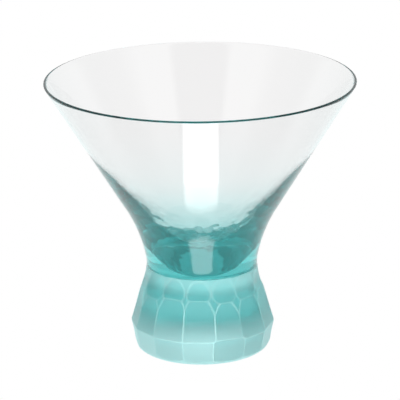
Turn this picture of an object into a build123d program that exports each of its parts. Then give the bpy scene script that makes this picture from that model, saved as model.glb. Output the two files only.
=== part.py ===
"""Stemless martini glass: a blown conical bowl welded onto a solid foot cut in frosted facets."""

import os
from math import asin, atan2, cos, hypot, radians, sin, sqrt

from build123d import *

# Lengths are in millimetres and angles in degrees.
# Upright sections are drawn with the distance from the axis across and the height up.

# Bowl
rim_radius = 60.0
glass_height = 107.7
wall = 1.0
swell_round = 60.0
well_floor = 31.0
well_ball = 11.0
well_spread = 4.5
blend_top = 82.0
bottom_thickness = 4.5

# Neck, shared by the bowl and the foot
neck_radius = 21.55
neck_height = 34.9
neck_round = 16.0
neck_flare = 11.3
weld_drop = 0.9
shoulder_round = 20.0

# Blank of the foot before its facets are cut
girdle_corner_radius = 28.1
girdle_corner_height = 11.6
girdle_round = 10.0
base_corner_radius = 26.5
base_round = 6.0

# Columns of facets round the foot
facet_columns = 14
facet_turn = -3.6

# Base row and girdle row: how deep they are cut below the two corners of the blank, the height of
# the seam between them, and how far outside the neck the girdle facets pass at the weld
base_inset = 1.0
girdle_inset = 0.75
girdle_seam = 10.8
girdle_row_gap = 0.35

# Neck row: its length, how far it stops below the weld, how far its facets stand outside the neck
# at the bottom, and how far inside at the top
neck_row_length = 7.9
neck_row_drop = 0.6
neck_row_spread = 1.8
neck_row_inset = 0.05

# Wheels that grind each row slightly hollow
base_wheel = 60.0
girdle_wheel = 150.0
neck_wheel = 15.0
# Hand grinding leaves each facet a little deeper or shallower than its neighbours
flat_wander = 0.16
wander_per_column = 2.4
wander_per_row = 1.9


def tangent_tilt(point, centre, radius):
    """Angle from upright of the line through a point that touches the near side of a circle."""
    across = point[0] - centre[0]
    up = point[1] - centre[1]
    return atan2(across, up) + asin(radius / hypot(across, up))


def on_hollow(centre, radius, tilt):
    """Point on the outside of a hollow round, where the surface leans outward by the tilt."""
    return (centre[0] - radius * cos(tilt), centre[1] + radius * sin(tilt))


def on_bulge(centre, radius, tilt):
    """Point on a full round, where the surface leans outward by the tilt."""
    return (centre[0] + radius * cos(tilt), centre[1] - radius * sin(tilt))


def step_along(point, tilt, distance):
    """Point further up a line that leans outward by the tilt."""
    return (point[0] + distance * sin(tilt), point[1] + distance * cos(tilt))


# The bowl and the foot are welded just below the narrowest ring of the neck
neck_centre = (neck_radius + neck_round, neck_height)
weld_height = neck_height - weld_drop
weld_tilt = -asin(weld_drop / neck_round)
weld_edge = on_hollow(neck_centre, neck_round, weld_tilt)
shoulder_centre = on_bulge(weld_edge, shoulder_round, weld_tilt)

# The weld is a shallow dish: part of a ball that passes through its floor and its edge
weld_floor = (0, well_floor - bottom_thickness)
weld_depth = weld_height - weld_floor[1]
weld_ball = (weld_edge[0] ** 2 + weld_depth**2) / (2 * weld_depth)
weld_centre = (0, weld_floor[1] + weld_ball)
weld_middle = on_bulge(weld_centre, weld_ball, radians(90) - asin(weld_edge[0] / weld_ball) / 2)


def make_bowl():
    """Cone, thick clear bottom and upper half of the neck, turned from one section."""
    # Outside: neck round, swell round, then a straight cone that ends at the lip
    flare = radians(neck_flare)
    neck_top = on_hollow(neck_centre, neck_round, flare)
    neck_middle = on_hollow(neck_centre, neck_round, (weld_tilt + flare) / 2)
    swell_centre = on_bulge(neck_top, swell_round, flare)
    lip_round = wall / 2
    lip_centre = (rim_radius - lip_round, glass_height - lip_round)
    cone_tilt = tangent_tilt(lip_centre, swell_centre, swell_round + lip_round)
    swell_middle = on_hollow(swell_centre, swell_round, (flare + cone_tilt) / 2)
    cone_start = on_hollow(swell_centre, swell_round, cone_tilt)
    lip_outside = on_bulge(lip_centre, lip_round, cone_tilt)
    lip_top = on_bulge(lip_centre, lip_round, cone_tilt - radians(90))
    lip_inside = on_hollow(lip_centre, lip_round, cone_tilt)

    # Inside: a ball-shaped well, then a smooth curve that runs into the even wall
    well_tilt = cone_tilt + radians(well_spread)
    well_centre = (0, well_floor + well_ball)
    well_middle = on_bulge(well_centre, well_ball, (well_tilt + radians(90)) / 2)
    well_edge = on_bulge(well_centre, well_ball, well_tilt)
    wall_start = step_along(lip_inside, cone_tilt, (blend_top - lip_inside[1]) / cos(cone_tilt))
    handle = hypot(wall_start[0] - well_edge[0], wall_start[1] - well_edge[1]) / 3
    well_handle = step_along(well_edge, well_tilt, handle)
    wall_handle = step_along(wall_start, cone_tilt, -handle)

    section = make_face(
        [
            ThreePointArc(weld_floor, weld_middle, weld_edge),
            ThreePointArc(weld_edge, neck_middle, neck_top),
            ThreePointArc(neck_top, swell_middle, cone_start),
            Line(cone_start, lip_outside),
            ThreePointArc(lip_outside, lip_top, lip_inside),
            Line(lip_inside, wall_start),
            Bezier(wall_start, wall_handle, well_handle, well_edge),
            ThreePointArc(well_edge, well_middle, (0, well_floor)),
            Line((0, well_floor), weld_floor),
        ]
    )
    return revolve(Plane.XZ * section, Axis.Z)


def make_foot_blank():
    """Round foot before cutting: base, girdle and the lower half of the neck."""
    girdle_corner = (girdle_corner_radius, girdle_corner_height)
    mirrored = (girdle_corner[0], 2 * shoulder_centre[1] - girdle_corner[1])
    shoulder_tilt = -tangent_tilt(mirrored, shoulder_centre, shoulder_round)
    shoulder_edge = on_hollow(shoulder_centre, shoulder_round, shoulder_tilt)
    shoulder_middle = on_hollow(shoulder_centre, shoulder_round, (shoulder_tilt + weld_tilt) / 2)
    section = make_face(
        [
            Polyline(weld_floor, (0, 0), (base_corner_radius, 0), girdle_corner, shoulder_edge),
            ThreePointArc(shoulder_edge, shoulder_middle, weld_edge),
            ThreePointArc(weld_edge, weld_middle, weld_floor),
        ]
    )
    by_reach = section.vertices().sort_by(Axis.X)
    section = fillet(by_reach[-1], girdle_round)
    base_corner = section.vertices().group_by(Axis.Y)[0].sort_by(Axis.X)[-1]
    section = fillet(base_corner, base_round)
    return revolve(Plane.XZ * section, Axis.Z)


def facet_wheel(low, high, radius, deeper):
    """Grinding wheel, lying flat against a facet that runs between two points."""
    spread = high[0] - low[0]
    rise = high[1] - low[1]
    lean = atan2(spread, rise)
    half_chord = hypot(spread, rise) / 2
    stand_off = sqrt(radius**2 - half_chord**2)
    across = (low[0] + high[0]) / 2 + stand_off * cos(lean) - deeper
    up = (low[1] + high[1]) / 2 - stand_off * sin(lean)
    return Pos(across, 0, up) * Rot(90, 0, 0) * Cylinder(radius, 2 * girdle_corner_radius)


def make_foot():
    """Foot with three rows of facets ground into the blank, which run into one another."""
    base_edge = (base_corner_radius - base_inset, 0)
    girdle_edge = (girdle_corner_radius - girdle_inset, girdle_seam)
    weld_side = (neck_radius + girdle_row_gap, weld_height)
    neck_row_top = weld_height - neck_row_drop
    neck_foot = (neck_radius + neck_row_spread, neck_row_top - neck_row_length)
    neck_top = (neck_radius - neck_row_inset, neck_row_top)
    rows = [
        (base_edge, girdle_edge, base_wheel),
        (girdle_edge, weld_side, girdle_wheel),
        (neck_foot, neck_top, neck_wheel),
    ]
    foot = make_foot_blank()
    for column in range(facet_columns):
        turn = facet_turn - 90 + column * 360 / facet_columns
        for row, (low, high, radius) in enumerate(rows):
            deeper = flat_wander * sin(wander_per_column * column + wander_per_row * row)
            foot -= Rot(0, 0, turn) * facet_wheel(low, high, radius, deeper)
    return foot


os.makedirs("parts", exist_ok=True)
export_step(make_bowl(), "parts/bowl.step")
export_step(make_foot(), "parts/foot.step")
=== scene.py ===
import math

import bpy
from mathutils import Matrix, Vector


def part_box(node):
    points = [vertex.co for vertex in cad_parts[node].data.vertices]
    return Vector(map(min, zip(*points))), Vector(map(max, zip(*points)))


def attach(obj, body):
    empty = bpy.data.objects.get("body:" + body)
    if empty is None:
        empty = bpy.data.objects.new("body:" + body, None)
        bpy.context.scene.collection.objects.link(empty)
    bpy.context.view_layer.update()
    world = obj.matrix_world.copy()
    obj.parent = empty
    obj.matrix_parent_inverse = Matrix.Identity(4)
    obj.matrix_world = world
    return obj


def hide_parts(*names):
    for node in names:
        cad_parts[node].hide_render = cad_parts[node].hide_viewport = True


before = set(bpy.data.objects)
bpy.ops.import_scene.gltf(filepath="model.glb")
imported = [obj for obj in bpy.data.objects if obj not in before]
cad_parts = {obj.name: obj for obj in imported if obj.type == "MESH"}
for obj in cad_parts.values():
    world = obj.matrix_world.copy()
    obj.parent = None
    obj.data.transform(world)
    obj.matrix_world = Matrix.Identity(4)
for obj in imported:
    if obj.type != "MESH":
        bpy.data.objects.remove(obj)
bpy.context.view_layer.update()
mm = 0.001
print("frame loaded:", sorted(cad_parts))


class Wire:
    # a node's output that can be used in sums
    def __init__(self, shade, socket):
        self.shade = shade
        self.socket = socket

    def maths(self, operation, first, second):
        return self.shade.node("Math", {"operation": operation}, {0: first, 1: second})

    def __add__(self, other):
        return self.maths("ADD", self, other)

    def __radd__(self, other):
        return self.maths("ADD", other, self)

    def __mul__(self, other):
        return self.maths("MULTIPLY", self, other)

    def __rmul__(self, other):
        return self.maths("MULTIPLY", other, self)


class Shade:
    # the nodes of one material, or of the world
    def __init__(self, owner):
        self.owner = owner
        owner.use_nodes = True
        self.tree = owner.node_tree
        self.tree.nodes.clear()

    def node(self, kind, settings=None, sockets=None, output=0):
        made = self.tree.nodes.new("ShaderNode" + kind)
        for name, value in (settings or {}).items():
            setattr(made, name, value)
        for name, value in (sockets or {}).items():
            if isinstance(value, Wire):
                self.tree.links.new(value.socket, made.inputs[name])
            else:
                made.inputs[name].default_value = value
        return Wire(self, made.outputs[output])

    def finish(self, surface, volume=None, kind="Material"):
        out = self.tree.nodes.new("ShaderNodeOutput" + kind)
        self.tree.links.new(surface.socket, out.inputs["Surface"])
        if volume:
            self.tree.links.new(volume.socket, out.inputs["Volume"])
        return self.owner


def newMaterial(name):
    return Shade(bpy.data.materials.new(name))


# the glass both pieces are made of
glass = {
    "ior": 1.5,
    "density": 60.0,
    "bowlTint": (0.1, 0.84, 0.84, 1),
    "footTint": (0.18, 0.9, 0.9, 1),
}


def glassVolume(shade, tint):
    return shade.node("VolumeAbsorption", sockets={"Color": tint, "Density": glass["density"]})


def weldedShader(shade, surface):
    # the two pieces were fused hot, so light crosses the weld without a surface to stop it
    fused = shade.node("Attribute", {"attribute_name": "weld"}, output=2)
    clear = shade.node("BsdfTransparent")
    return shade.node("MixShader", sockets={0: fused, 1: surface, 2: clear})


def smoothMesh(name, points, faces, fused, milkAndHighlight, material):
    mesh = bpy.data.meshes.new(name)
    mesh.from_pydata(points, [], faces)
    mesh.attributes.new("weld", "FLOAT", "FACE").data.foreach_set("value", fused)
    # each point's milkiness, with the painted ridge highlight and the painted floor light
    mesh.attributes.new("milkAndHighlight", "FLOAT", "POINT").data.foreach_set("value", milkAndHighlight)
    mesh.shade_smooth()
    mesh.materials.append(material)
    piece = bpy.data.objects.new(name, mesh)
    bpy.context.scene.collection.objects.link(piece)
    return piece


# outlines are lists of (distance from the axis, height) in millimetres, and a tilt is an angle from
# upright, leaning outward
def onHollow(centre, radius, tilt):
    return (centre[0] - radius * math.cos(tilt), centre[1] + radius * math.sin(tilt))


def onBulge(centre, radius, tilt):
    return (centre[0] + radius * math.cos(tilt), centre[1] - radius * math.sin(tilt))


def sweep(spot, centre, radius, start, end, steps):
    # points along a round, leaving out its first point
    return [spot(centre, radius, start + (end - start) * i / steps) for i in range(1, steps + 1)]


def straight(a, b, steps):
    across = b[0] - a[0]
    up = b[1] - a[1]
    return [(a[0] + across * i / steps, a[1] + up * i / steps) for i in range(1, steps + 1)]


def stepAlong(point, tilt, distance):
    return (point[0] + distance * math.sin(tilt), point[1] + distance * math.cos(tilt))


def bezier(a, aHandle, bHandle, b, steps):
    outline = []
    for i in range(1, steps + 1):
        t = i / steps
        weights = ((1 - t) ** 3, 3 * (1 - t) ** 2 * t, 3 * (1 - t) * t**2, t**3)
        spots = (a, aHandle, bHandle, b)
        outline.append(tuple(sum(w * spot[k] for w, spot in zip(weights, spots)) for k in (0, 1)))
    return outline


def tangentTilt(point, centre, radius):
    across = point[0] - centre[0]
    up = point[1] - centre[1]
    return math.atan2(across, up) + math.asin(radius / math.hypot(across, up))


neck = {"radius": 21.55, "height": 34.9, "round": 16.0, "flare": math.radians(11.3)}
neckCentre = (neck["radius"] + neck["round"], neck["height"])
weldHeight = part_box("foot")[1].z / mm
weldTilt = math.asin((weldHeight - neck["height"]) / neck["round"])
weldEdge = onHollow(neckCentre, neck["round"], weldTilt)


bowl = {
    "rimRadius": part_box("bowl")[1].x / mm,
    "height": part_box("bowl")[1].z / mm,
    "wall": 1.0,
    "swellRound": 60.0,
    "floor": 31.0,
    "wellBall": 11.0,
    "wellSpread": math.radians(4.5),
    "blendTop": 82.0,
    "bottom": 4.5,
    "around": 256,
    "steps": {"neck": 16, "swell": 40, "cone": 40, "lip": 14, "wall": 20, "blend": 48, "well": 40},
}


def bowlOutline():
    lip = bowl["wall"] / 2
    neckTop = onHollow(neckCentre, neck["round"], neck["flare"])
    swellCentre = onBulge(neckTop, bowl["swellRound"], neck["flare"])
    lipCentre = (bowl["rimRadius"] - lip, bowl["height"] - lip)
    cone = tangentTilt(lipCentre, swellCentre, bowl["swellRound"] + lip)
    coneStart = onHollow(swellCentre, bowl["swellRound"], cone)
    lipOutside = onBulge(lipCentre, lip, cone)
    lipInside = onHollow(lipCentre, lip, cone)
    # inside: the ball of the well, then a curve that runs into the even wall
    wellTilt = cone + bowl["wellSpread"]
    wellCentre = (0, bowl["floor"] + bowl["wellBall"])
    wellEdge = onBulge(wellCentre, bowl["wellBall"], wellTilt)
    wallStart = stepAlong(lipInside, cone, (bowl["blendTop"] - lipInside[1]) / math.cos(cone))
    handle = math.dist(wallStart, wellEdge) / 3
    wallHandle = stepAlong(wallStart, cone, -handle)
    wellHandle = stepAlong(wellEdge, wellTilt, handle)
    steps = bowl["steps"]
    outline = sweep(onHollow, neckCentre, neck["round"], weldTilt, neck["flare"], steps["neck"])
    outline += sweep(onHollow, swellCentre, bowl["swellRound"], neck["flare"], cone, steps["swell"])
    outline += straight(coneStart, lipOutside, steps["cone"])
    outline += sweep(onBulge, lipCentre, lip, cone, cone - math.pi, steps["lip"])
    outline += straight(lipInside, wallStart, steps["wall"])
    outline += bezier(wallStart, wallHandle, wellHandle, wellEdge, steps["blend"])
    outline += sweep(onBulge, wellCentre, bowl["wellBall"], wellTilt, math.pi / 2, steps["well"])
    return outline


def turnedMesh(name, outline, around, reach, isWeld, material):
    # the outline starts on the axis under the piece, goes round its outside and ends on the axis
    points = []
    milkAndHighlight = []
    faces = []
    fused = []
    rings = []
    for radius, height in outline:
        onAxis = radius < 1e-6
        ring = []
        for i in range(1 if onAxis else around):
            turn = 2 * math.pi * i / around
            r, milkAndHighlightAmount = reach(radius, height, turn)
            ring.append(len(points))
            points.append((r * mm * math.cos(turn), r * mm * math.sin(turn), height * mm))
            milkAndHighlight.append(milkAndHighlightAmount)
        rings.append(ring)
    for step, (low, high) in enumerate(zip(rings, rings[1:])):
        for i in range(around):
            j = (i + 1) % around
            if len(low) == 1:
                faces.append((low[0], high[j], high[i]))
            elif len(high) == 1:
                faces.append((low[i], low[j], high[0]))
            else:
                faces.append((low[i], low[j], high[j], high[i]))
            fused.append(float(isWeld(step)))
    return smoothMesh(name, points, faces, fused, milkAndHighlight, material)


polish = {
    "colour": (1, 0.95, 0.95, 1),  # offsets the tint of the thin wall
    "waveScale": 100,
    "waveStrength": 0.4,
    "waveDepth": 0.0008,
    # heights in metres between which the hand-worked waves fade in, going down
    "calmAbove": 0.075,
    "wavyBelow": 0.05,
}


def polishedGlass():
    shade = newMaterial("polishedGlass")
    place = shade.node("TexCoord", output="Object")
    wave = shade.node("TexNoise", sockets={"Vector": place, "Scale": polish["waveScale"], "Detail": 2})
    height = shade.node("SeparateXYZ", sockets={0: place}, output="Z")
    fade = {"Value": height, "From Min": polish["calmAbove"], "From Max": polish["wavyBelow"]}
    thick = shade.node("MapRange", sockets=fade)
    bump = shade.node(
        "Bump",
        sockets={
            "Strength": polish["waveStrength"],
            "Distance": polish["waveDepth"],
            "Height": wave * thick,
        },
    )
    surface = shade.node(
        "BsdfPrincipled",
        sockets={
            "Base Color": polish["colour"],
            "Roughness": 0.0,
            "IOR": glass["ior"],
            "Transmission Weight": 1,
            "Normal": bump,
        },
    )
    surface = weldedShader(shade, surface)
    return shade.finish(surface, glassVolume(shade, glass["bowlTint"]))


weld = {"floor": bowl["floor"] - bowl["bottom"], "steps": 24, "gap": 0.02}


def weldDish(drop):
    # the dish where the bowl sits in the foot, from the axis out to its edge
    depth = weldEdge[1] - weld["floor"]
    ball = (weldEdge[0] ** 2 + depth**2) / (2 * depth)
    edge = math.asin(weldEdge[0] / ball)
    spots = [edge * i / weld["steps"] for i in range(weld["steps"] + 1)]
    return [(ball * math.sin(a), weld["floor"] + ball * (1 - math.cos(a)) - drop) for a in spots]


bowlPiece = turnedMesh(
    "bowlGlass",
    weldDish(0) + bowlOutline(),
    bowl["around"],
    lambda radius, height, turn: (radius, 0.0),
    lambda step: step < weld["steps"],
    polishedGlass(),
)
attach(bowlPiece, "root")
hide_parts("bowl")
print("bowl made")


foot = {
    "cornerRadius": 28.1,
    "cornerHeight": 11.6,
    "girdleRound": 10.0,
    "baseCorner": 26.5,
    "baseRound": 6.0,
    "shoulderRound": 20.0,
    "columns": 14,
    "turn": -3.6,
    # how deep the rows are cut below the blank's corners, where they meet and end, and their wheels
    "baseInset": 1.0,
    "girdleInset": 0.75,
    "girdleSeam": 10.8,
    "girdleGap": 0.35,
    "neckRowLength": 7.9,
    "neckRowDrop": 0.6,
    "neckRowSpread": 1.8,
    "neckRowInset": 0.05,
    "wheels": (60.0, 150.0, 15.0),
    # unevenness of hand grinding
    "wander": 0.16,
    "perColumn": 2.4,
    "perRow": 1.9,
    # edges between facets: how far they are eased, how wide their painted highlight line is and how
    # pale it is
    "soft": 0.07,
    "ridgeHighlightWidth": 0.06,
    "rowRidgeHighlights": (0.8, 0.8, 0.35),
    "blankRidgeHighlight": 0.45,
    # how milky the ground glass is at each height, partly real frosting and partly painted light, the
    # low rows being made milkier to look lit from the floor, and how that changes from facet to facet
    "milkAndFloorLight": ((0.0, 0.7), (11.0, 0.5), (19.0, 0.12), (27.0, 0.2), (31.0, 0.4), (34.0, 0.4)),
    "toneWander": 0.25,
    "tonePerColumn": 5.3,
    "tonePerRow": 2.1,
    "perFacet": 36,
    "uncutRadius": 20.0,
    "steps": {"base": 8, "edge": 18, "lower": 16, "girdle": 24, "upper": 56, "shoulder": 30},
}


def facetRows():
    # each row's reach and height at its bottom and at its top, then its wheel
    seam = (foot["cornerRadius"] - foot["girdleInset"], foot["girdleSeam"])
    neckTop = weldHeight - foot["neckRowDrop"]
    ends = (
        ((foot["baseCorner"] - foot["baseInset"], 0.0), seam),
        (seam, (neck["radius"] + foot["girdleGap"], weldHeight)),
        (
            (neck["radius"] + foot["neckRowSpread"], neckTop - foot["neckRowLength"]),
            (neck["radius"] - foot["neckRowInset"], neckTop),
        ),
    )
    return [(low, high, wheel) for (low, high), wheel in zip(ends, foot["wheels"])]


rows = facetRows()


def footOutline():
    corner = (foot["cornerRadius"], foot["cornerHeight"])
    shoulderCentre = onBulge(weldEdge, foot["shoulderRound"], weldTilt)
    mirrored = (corner[0], 2 * shoulderCentre[1] - corner[1])
    shoulder = -tangentTilt(mirrored, shoulderCentre, foot["shoulderRound"])
    lower = math.atan2(corner[0] - foot["baseCorner"], corner[1])
    # girdle round between the two straight flanks
    half = (lower - shoulder) / 2
    aim = (lower + shoulder) / 2
    away = foot["girdleRound"] / math.cos(half)
    girdleCentre = (corner[0] - away * math.cos(aim), corner[1] + away * math.sin(aim))
    # base round between the flat base and the lower flank
    rise = foot["baseRound"]
    turnBack = rise * math.tan((math.pi / 2 - lower) / 2)
    baseCentre = (foot["baseCorner"] - turnBack, rise)
    top = onHollow(shoulderCentre, foot["shoulderRound"], shoulder)
    steps = foot["steps"]
    outline = [(baseCentre[0] * i / steps["base"], 0) for i in range(steps["base"] + 1)]
    outline += sweep(onBulge, baseCentre, rise, math.pi / 2, lower, steps["edge"])
    girdleStart = onBulge(girdleCentre, foot["girdleRound"], lower)
    outline += straight(outline[-1], girdleStart, steps["lower"])
    outline += sweep(onBulge, girdleCentre, foot["girdleRound"], lower, shoulder, steps["girdle"])
    outline += straight(outline[-1], top, steps["upper"])
    shoulderLine = sweep(
        onHollow, shoulderCentre, foot["shoulderRound"], shoulder, weldTilt, steps["shoulder"]
    )
    # the last point is where the weld dish begins
    return outline + shoulderLine[:-1]


def facetReach(row, column, height):
    # distance from the axis to a facet that a wheel has ground slightly hollow
    low, high, wheel = rows[row]
    deeper = foot["wander"] * math.sin(foot["perColumn"] * column + foot["perRow"] * row)
    spread = high[0] - low[0]
    rise = high[1] - low[1]
    lean = math.atan2(spread, rise)
    standOff = math.sqrt(wheel**2 - (math.hypot(spread, rise) / 2) ** 2)
    across = (low[0] + high[0]) / 2 + standOff * math.cos(lean) - deeper
    up = (low[1] + high[1]) / 2 - standOff * math.sin(lean)
    return across - math.sqrt(max(wheel**2 - (height - up) ** 2, 0))


def facetTone(row, column):
    return 1 + foot["toneWander"] * math.sin(foot["tonePerColumn"] * column + foot["tonePerRow"] * row)


def milkAndFloorLightAt(height):
    for (low, before), (high, after) in zip(foot["milkAndFloorLight"], foot["milkAndFloorLight"][1:]):
        if height <= high:
            return before + (after - before) * (height - low) / (high - low)
    return foot["milkAndFloorLight"][-1][1]


def footReach(radius, height, turn):
    # the smallest of the round blank and every facet, with the edges between them eased
    if radius < foot["uncutRadius"]:
        return radius, foot["milkAndFloorLight"][0][1]
    pitch = 2 * math.pi / foot["columns"]
    front = math.radians(foot["turn"] - 90)
    nearest = round((turn - front) / pitch)
    surfaces = []
    for count in (nearest - 1, nearest, nearest + 1):
        away = turn - front - count * pitch
        column = count % foot["columns"]
        for row, rowHighlight in enumerate(foot["rowRidgeHighlights"]):
            reach = facetReach(row, column, height) / math.cos(away)
            surfaces.append((reach, rowHighlight, facetTone(row, column)))
    surfaces.append((radius, foot["blankRidgeHighlight"], 1.0))
    surfaces.sort()
    least, ridgeHighlight, tone = surfaces[0]
    second, nextHighlight = surfaces[1][:2]
    easing = sum(math.exp((least - surface[0]) / foot["soft"]) for surface in surfaces)
    eased = least - foot["soft"] * math.log(easing)
    # painted highlight: a pale line along the edge between the two nearest surfaces
    ridgeHighlight = min(ridgeHighlight, nextHighlight) * math.exp(-(((second - least) / foot["ridgeHighlightWidth"]) ** 2))
    # milky frosting, made milkier low down as painted floor light, and varied at random from facet to
    # facet
    milkAndFloorLight = milkAndFloorLightAt(height) * tone
    return eased, milkAndFloorLight + (1 - milkAndFloorLight) * ridgeHighlight


satin = {
    "roughness": 0.33,
    # colour of the milky scatter, which also paints the ridge highlights and the floor light on the low
    # rows
    "scatter": (0.64, 0.99, 0.99, 1),
    "grainScale": 2500,
    "grainStrength": 0.3,
    "grainDepth": 0.00005,
}


def frostedGlass():
    shade = newMaterial("frostedGlass")
    place = shade.node("TexCoord", output="Object")
    grain = shade.node("TexNoise", sockets={"Vector": place, "Scale": satin["grainScale"], "Detail": 2})
    bump = shade.node(
        "Bump",
        sockets={"Strength": satin["grainStrength"], "Distance": satin["grainDepth"], "Height": grain},
    )
    surface = shade.node(
        "BsdfPrincipled",
        sockets={
            "Base Color": (1, 1, 1, 1),
            "Roughness": satin["roughness"],
            "IOR": glass["ior"],
            "Transmission Weight": 1,
            "Normal": bump,
        },
    )
    # ground glass scatters white, more on its low rows, where this also paints the floor light on them;
    # the white along its ridges is a painted highlight
    milkAndHighlight = shade.node("Attribute", {"attribute_name": "milkAndHighlight"}, output=2)
    scatter = shade.node("BsdfDiffuse", sockets={"Color": satin["scatter"]})
    surface = shade.node("MixShader", sockets={0: milkAndHighlight, 1: surface, 2: scatter})
    surface = weldedShader(shade, surface)
    return shade.finish(surface, glassVolume(shade, glass["footTint"]))


footLine = footOutline()
weldStart = len(footLine)
footPiece = turnedMesh(
    "footGlass",
    footLine + weldDish(weld["gap"])[::-1],
    foot["columns"] * foot["perFacet"],
    footReach,
    lambda step: step >= weldStart,
    frostedGlass(),
)
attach(footPiece, "root")
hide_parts("foot")
print("foot made")


studio = {
    "floorSize": 6.0,
    "floorDrop": 0.0002,
    "light": 1.0,
    # a painted pool of light glows on the floor in front: its middle, half sizes, soft edge and added
    # strength
    "lightPool": (0, -0.068, 0),
    "lightPoolHalf": (0.02, 0.022),
    "lightPoolEdge": 0.15,
    "lightPoolGlow": 4.0,
    # direction, half width in degrees, added strength
    "softboxes": (
        ((0.0, -0.69, 0.72), 22, -0.95),
        ((0.0, -0.1, 1.0), 16, 1.5),
        ((-1.0, -0.2, 0.1), 42, -0.6),
        ((1.0, -0.2, 0.1), 42, -0.6),
    ),
    # part of each softbox's width that has its full strength
    "softboxCore": 0.7,
}


def paleFloor():
    shade = newMaterial("paleFloor")
    spot = shade.node("TexCoord", output="Object")
    offset = shade.node("VectorMath", {"operation": "SUBTRACT"}, {0: spot, 1: studio["lightPool"]})
    apart = shade.node("VectorMath", {"operation": "ABSOLUTE"}, {0: offset})
    # painted pool of light: the floor glows brighter in a soft-edged patch in front
    pool = studio["lightPoolGlow"]
    for axis, half in zip("XY", studio["lightPoolHalf"]):
        along = shade.node("SeparateXYZ", sockets={0: apart}, output=axis)
        outer = half * (1 + studio["lightPoolEdge"])
        inner = half * (1 - studio["lightPoolEdge"])
        edge = {"Value": along, "From Min": outer, "From Max": inner}
        pool = pool * shade.node("MapRange", {"interpolation_type": "SMOOTHSTEP"}, edge)
    return shade.finish(shade.node("Emission", sockets={"Strength": pool + studio["light"]}))


side = studio["floorSize"] / 2
corners = [(-side, -side, 0), (side, -side, 0), (side, side, 0), (-side, side, 0)]
floorMesh = bpy.data.meshes.new("studioFloor")
floorMesh.from_pydata(corners, [], [(0, 1, 2, 3)])
floorMesh.materials.append(paleFloor())
floor = bpy.data.objects.new("studioFloor", floorMesh)
floor.location.z = -studio["floorDrop"]
bpy.context.scene.collection.objects.link(floor)

world = bpy.data.worlds.new("studioLight")
bpy.context.scene.world = world
sky = Shade(world)
toSky = sky.node("TexCoord", output="Generated")
glow = studio["light"]
for direction, width, strength in studio["softboxes"]:
    aim = Vector(direction).normalized()
    facing = sky.node("VectorMath", {"operation": "DOT_PRODUCT"}, {0: toSky, 1: aim}, output="Value")
    edge = math.cos(math.radians(width))
    core = math.cos(math.radians(width * studio["softboxCore"]))
    lobe = {"Value": facing, "From Min": edge, "From Max": core, "To Max": strength}
    glow = glow + sky.node("MapRange", {"interpolation_type": "SMOOTHSTEP"}, lobe)
sky.finish(sky.node("Background", sockets={"Strength": glow}), kind="World")


# camera
shot = {
    "distance": 1.25,
    "elevation": math.radians(16.95),
    "aimHeight": 0.0596,
    "aimSide": -0.0005,
    "lens": 290.7,
    "roll": math.radians(0.6),
    "farthest": 20,
}
camera = bpy.data.cameras.new("camera")
camera.lens = shot["lens"]
camera.sensor_width = 36
camera.clip_end = shot["farthest"]
cameraPiece = bpy.data.objects.new("camera", camera)
bpy.context.scene.collection.objects.link(cameraPiece)
aim = Vector((shot["aimSide"], 0, shot["aimHeight"]))
away = Vector((0, -math.cos(shot["elevation"]), math.sin(shot["elevation"]))) * shot["distance"]
facing = (-away).to_track_quat("-Z", "Y").to_matrix().to_4x4()
roll = Matrix.Rotation(-shot["roll"], 4, "Z")
cameraPiece.matrix_world = Matrix.Translation(aim + away) @ facing @ roll
bpy.context.scene.camera = cameraPiece

# light crosses thick tinted glass many times before it comes out
glassBounces = 128
scene = bpy.context.scene
scene.view_settings.view_transform = "Standard"
scene.cycles.max_bounces = glassBounces
scene.cycles.transmission_bounces = glassBounces
scene.cycles.glossy_bounces = glassBounces
scene.cycles.transparent_max_bounces = glassBounces // 2
scene.cycles.caustics_refractive = True
scene.cycles.caustics_reflective = True
print("studio ready")
